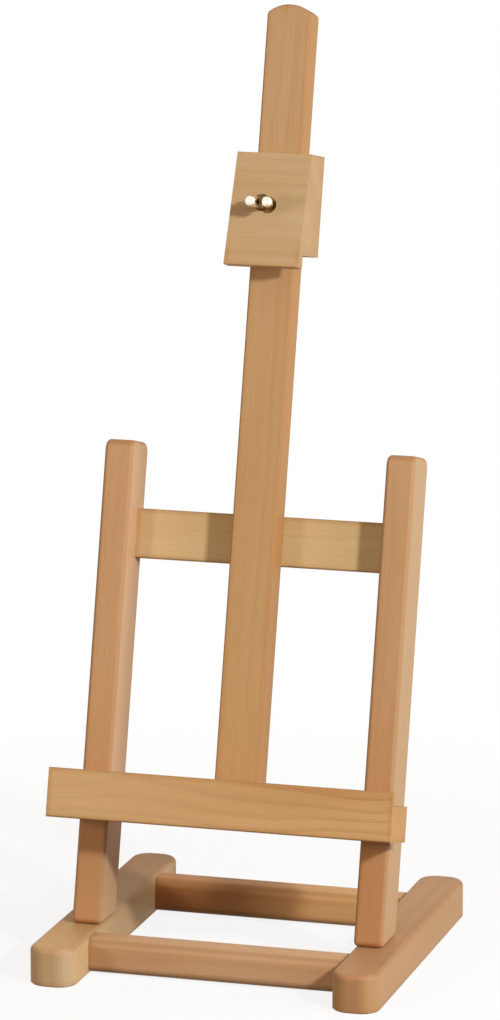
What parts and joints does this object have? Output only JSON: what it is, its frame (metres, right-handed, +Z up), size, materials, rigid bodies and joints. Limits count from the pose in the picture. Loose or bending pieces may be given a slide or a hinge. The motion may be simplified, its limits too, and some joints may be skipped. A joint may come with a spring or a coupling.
{
  "type": "table easel",
  "caption": "Wooden table-top easel: leaning H-frame on a flat base, central mast with a sliding wedge holder clamped by a wing screw, and a lipped canvas ledge.",
  "frame": {"origin": "on the floor under the middle of the base", "axes": "+Z up, the front of the easel towards -Y, +X to the right seen from the front"},
  "size_m": [0.243, 0.25, 0.6396],
  "materials": {
    "base_beech": "satin lacquered beech",
    "post_beech": "satin lacquered beech",
    "rail_beech": "satin lacquered beech",
    "mast_beech": "satin lacquered beech",
    "ledge_beech": "satin lacquered beech",
    "holder_beech": "satin lacquered beech",
    "dowel_beech": "raw beech",
    "screw_steel": "zinc-plated steel",
    "clamp_brass": "turned brass",
    "wing_brass": "polished brass"
  },
  "bodies": {
    "frame": {"left_foot": "base_beech", "right_foot": "base_beech", "front_stretcher": "base_beech", "rear_stretcher": "base_beech", "left_post": "post_beech", "right_post": "post_beech", "cross_rail": "rail_beech", "mast": "mast_beech", "canvas_ledge": "ledge_beech", "front_stretcher_dowels": "dowel_beech", "rear_stretcher_dowels": "dowel_beech", "rail_dowels": "dowel_beech", "post_screws": "screw_steel", "ledge_screws": "screw_steel", "mast_ledge_screws": "screw_steel", "mast_rail_screws": "screw_steel"},
    "holder": {"holder_block": "holder_beech", "holder_back_plate": "holder_beech", "holder_screws": "screw_steel", "threaded_insert": "clamp_brass"},
    "clamp_pad": {"pressure_pad": "clamp_brass"},
    "clamp_screw": {"wing_screw": "wing_brass"}
  },
  "joints": [
    {"name": "holder_slide", "type": "slide", "parent": "frame", "child": "holder", "axis": [0, 0.247, 0.969], "range_m": [-0.174, 0.09]},
    {"name": "pad_slide", "type": "slide", "parent": "holder", "child": "clamp_pad", "axis": [0, -0.969, 0.247], "range_m": [0, 0.003]},
    {"name": "wing_turn", "type": "hinge", "parent": "clamp_pad", "child": "clamp_screw", "pos_m": [0, 0.05944, 0.50518], "axis": [0, -0.969, 0.247], "range_deg": [0, 1080]}
  ],
  "couplings": [
    {"joint": "pad_slide", "follows": "wing_turn", "m_per_rad": 0.00015915}
  ]
}
